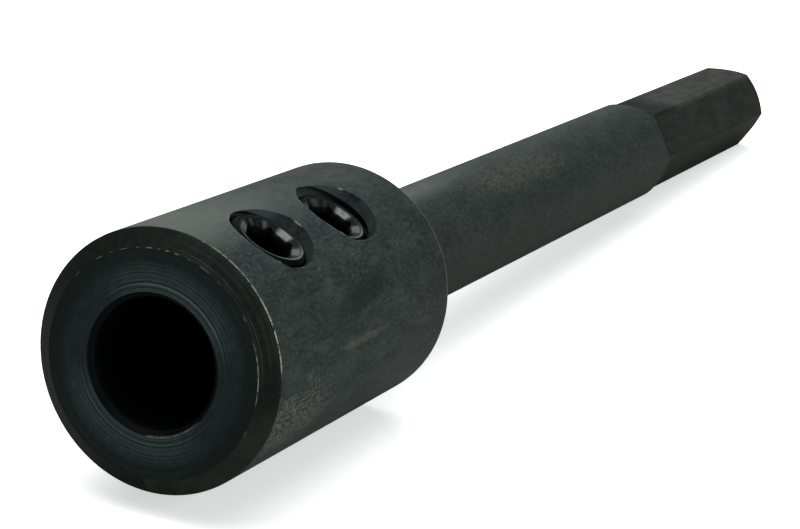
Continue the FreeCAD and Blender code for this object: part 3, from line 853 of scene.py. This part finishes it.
    # the grooves run round the axis, so the finish is rougher along the meridian
    g.shader.inputs["Anisotropic"].default_value = 0.35
    circle = g.combine(g.math("MULTIPLY", y, -math.sin(TILT)), z, g.math("MULTIPLY", y, -math.cos(TILT)))
    geometry = g.tree.nodes.new("ShaderNodeNewGeometry")
    meridian = g.tree.nodes.new("ShaderNodeVectorMath")
    meridian.operation = "CROSS_PRODUCT"
    g.put(meridian.inputs[0], circle)
    g.put(meridian.inputs[1], geometry.outputs["Normal"])
    g.put(g.shader.inputs["Tangent"], meridian.outputs[0])
    return g.material


# where the key has rubbed the sockets' mouths, with painted highlights: bearing, half width in degrees,
# strength
RUBS_AND_HIGHLIGHTS = {STATIONS[0]: ((-2.0, 22.0, 0.95), (-62.0, 20.0, 0.55), (37.0, 13.0, 0.50),
                      (84.0, 13.0, 0.36), (112.0, 24.0, 0.80)),
        STATIONS[1]: ((3.0, 22.0, 1.00), (-55.0, 20.0, 0.50), (41.0, 9.0, 0.22),
                      (74.0, 16.0, 0.18), (108.0, 18.0, 0.36))}


def screw_material(name, station, face, turn):
    g = Graph(name)
    axes = RY @ np.stack([HOLE_X, HOLE_Y, HOLE_Z], axis=1)
    c, s = math.cos(turn), math.sin(turn)
    spin = np.array([[c, -s, 0], [s, c, 0], [0, 0, 1]])
    origin = MOUTH + RY @ (np.array([station, 0, 0]) + HOLE_Z * face)
    at = g.place(into(axes @ spin, origin))
    x, y, z = g.separate(at)
    r = g.math("SQRT", g.math("ADD", g.math("MULTIPLY", x, x), g.math("MULTIPLY", y, y)))
    phi = g.math("ARCTAN2", y, x)
    # 0 at the middle of a side of the socket, 0.5 at its corners
    corner = g.math("ABSOLUTE", g.math("SUBTRACT", g.math("FRACT", g.math(
        "MULTIPLY", g.math("ADD", phi, math.pi * 2), 3.0 / math.pi)), 0.5))
    along = g.math("ADD", g.math("MULTIPLY", x, c), g.math("MULTIPLY", y, -s))
    across = g.math("ADD", g.math("MULTIPLY", x, s), g.math("MULTIPLY", y, c))
    near_side = g.math("ADD", g.math("MULTIPLY", along, -0.72), g.math("MULTIPLY", across, -0.69))
    bearing = g.math("ARCTAN2", across, along)
    rubbed_and_lit = None
    for middle, half, strength in RUBS_AND_HIGHLIGHTS[station]:
        spot = g.times(g.near(bearing, math.radians(middle), math.radians(half * 0.45),
                              math.radians(half)), strength)
        rubbed_and_lit = spot if rubbed_and_lit is None else g.math("MAXIMUM", rubbed_and_lit, spot)
    own = g.tree.nodes.new("ShaderNodeVectorMath")
    own.operation = "ADD"
    g.put(own.inputs[0], at)
    own.inputs[1].default_value = (station * 1.37 + 3.3, 11.7, 5.9)
    grain = g.noise(own.outputs[0], 4.3, 4.0, 0.65)
    patch = g.noise(own.outputs[0], 0.9, 3.0, 0.6)
    soft = g.noise(own.outputs[0], 1.3, 2.0, 0.5)
    base = g.mix(g.ramp(grain, 0.35, 0.6), colour(0.0035, 0.0048, 0.0045),
                 colour(0.0120, 0.0150, 0.0140))
    # the key has rubbed the socket's mouth near the middle of its sides, and the rim of the
    # mouth all round, most on the side that leans towards the end face; the bright patches
    # on the cone are painted highlight as well as rub
    ring = g.times(g.near(r, 3.30, 0.06, 0.13), g.near(z, -0.01, 0.05, 0.10),
                   g.ramp(patch, 0.26, 0.46, 0.35, 1.0), g.ramp(near_side, -1.2, 2.0, 0.04, 1.0))
    cone = g.times(g.ramp(r, 3.20, 3.04), g.ramp(r, 2.36, 2.46), g.ramp(z, -0.80, -0.60),
                   g.ramp(corner, 0.42, 0.22), g.ramp(soft, 0.30, 0.60, 0.65, 1.0))
    # the near side of the cone is a plain dark grey band
    band = g.times(g.ramp(r, 3.26, 3.20), g.ramp(r, 2.36, 2.46), g.ramp(z, -0.80, -0.60),
                   g.ramp(near_side, 0.2, 2.0))
    base = g.mix(g.times(band, 0.7), base, colour(0.030, 0.030, 0.028))
    cone = g.times(cone, rubbed_and_lit)
    rub_and_highlight = g.math("MAXIMUM", g.times(ring, 0.50), g.times(cone, 0.8))
    base = g.mix(rub_and_highlight, base, g.mix(cone, colour(0.24, 0.25, 0.24), colour(0.160, 0.170, 0.163)))
    # painted shade: the screw's face ring and outer chamfer, down in the hole, are painted near-black
    rim = g.times(g.ramp(r, 3.36, 3.44), g.ramp(r, 4.55, 4.45))
    base = g.mix(g.times(rim, 0.95), base, colour(0.0012, 0.0016, 0.0015))
    # painted shade: the deep part of the socket is painted near-black
    deep = g.times(g.ramp(z, -0.75, -1.5), g.ramp(r, 2.9, 2.8))
    base = g.mix(g.times(deep, 0.92), base, colour(0.0008, 0.0009, 0.0009))
    crest = g.times(g.ramp(r, 4.58, 4.65), g.ramp(patch, 0.4, 0.6), 0.4)
    base = g.mix(crest, base, colour(0.12, 0.12, 0.11))
    g.put(g.shader.inputs["Base Color"], base)
    g.put(g.shader.inputs["Metallic"], g.times(rub_and_highlight, 0.6))
    rough = g.math("ADD", 0.40, g.math("MULTIPLY", grain, 0.15))
    g.put(g.shader.inputs["Roughness"], g.mix_float(rub_and_highlight, rough, 0.34))
    g.put(g.shader.inputs["Normal"], g.bump(g.noise(at, 6.0, 3.0, 0.6), 6e-6))
    g.shader.inputs["Specular IOR Level"].default_value = 0.025
    return g.material


bar.data.materials.clear()
bar.data.materials.append(bar_material())
for screw, number, *numbers in zip(screws, (1, 2), STATIONS, FACES, TURNS):
    screw.data.materials.clear()
    screw.data.materials.append(screw_material("black_oxide_screw_%d" % number, *numbers))

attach(bar, "bar")
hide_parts("extension_body")
for screw, node, body in zip(screws, ("set_screw_front", "set_screw_rear"),
                             ("front_screw", "rear_screw")):
    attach(screw, body)
    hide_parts(node)


# ---------------------------------------------------------- floor and light
def build_floor():
    g = Graph("pale_floor")
    source = g.tree.nodes.new("ShaderNodeTexCoord")
    mottled = g.noise(source.outputs["Object"], 3.0, 2.0, 0.5)
    # a cut-out white for the camera, without as much light thrown up under the bar
    seen = g.tree.nodes.new("ShaderNodeLightPath").outputs["Is Camera Ray"]
    pale = g.mix(mottled, colour(0.90, 0.90, 0.90), colour(0.92, 0.92, 0.92))
    g.put(g.shader.inputs["Base Color"], g.mix(seen, colour(0.58, 0.58, 0.565), pale))
    g.shader.inputs["Roughness"].default_value = 0.9
    g.shader.inputs["Emission Color"].default_value = (1.0, 1.0, 1.0, 1.0)
    g.put(g.shader.inputs["Emission Strength"], g.mix_float(seen, 0.0, 0.55))
    g.shader.inputs["Specular IOR Level"].default_value = 0.1
    n = 24
    size = 6.0
    line = np.linspace(-size, size, n + 1)
    verts = [(x, y, 0.0) for y in line for x in line]
    faces = [(j * (n + 1) + i, j * (n + 1) + i + 1, (j + 1) * (n + 1) + i + 1,
              (j + 1) * (n + 1) + i) for j in range(n) for i in range(n)]
    obj = new_object("floor", verts, faces)
    obj.data.materials.append(g.material)
    return obj


build_floor()

scene = bpy.context.scene
scene.view_settings.view_transform = "Standard"
scene.view_settings.look = "None"
scene.view_settings.exposure = 0.0
scene.view_settings.gamma = 1.0

world = bpy.data.worlds.new("studio")
scene.world = world
world.use_nodes = True
world.node_tree.nodes["Background"].inputs["Color"].default_value = (0.93, 0.97, 1.0, 1.0)
world.node_tree.nodes["Background"].inputs["Strength"].default_value = 0.20


def soft_light(name, place, target, width, height, watts, tint):
    lamp = bpy.data.lights.new(name, "AREA")
    lamp.shape = "RECTANGLE"
    lamp.size, lamp.size_y = width, height
    lamp.energy = watts
    lamp.color = tint
    obj = bpy.data.objects.new(name, lamp)
    scene.collection.objects.link(obj)
    obj.location = place
    obj.rotation_euler = (Vector(target) - Vector(place)).to_track_quat("-Z", "Y").to_euler()
    return obj


soft_light("overhead", (0.10, 0.12, 0.95), (0.0, 0.0, 0.0), 1.3, 1.3, 15.0, (0.965, 1.0, 0.985))
soft_light("behind", (0.75, 0.55, 0.45), (0.0, 0.0, 0.02), 0.7, 0.45, 1.2, (1.0, 0.98, 0.95))
soft_light("side", (-0.10, -0.85, 0.38), (-0.02, 0.0, 0.01), 0.7, 0.5, 2.6, (0.94, 1.0, 1.0))

# ------------------------------------------------------------------ camera
camera_data = bpy.data.cameras.new("camera")
camera_data.sensor_width = 36.0
camera_data.lens = 112.9496
camera_data.clip_start = 0.01
camera_data.clip_end = 50.0
camera = bpy.data.objects.new("camera", camera_data)
scene.collection.objects.link(camera)
camera.rotation_mode = "QUATERNION"
camera.rotation_quaternion = Matrix((
    (0.41183185, 0.23770688, -0.87971016),
    (-0.90763984, 0.19296537, -0.37276573),
    (0.08114462, 0.95197679, 0.29522152))).to_quaternion()
camera.location = (-0.28035462, -0.10441291, 0.09305759)
scene.camera = camera

bpy.context.view_layer.update()
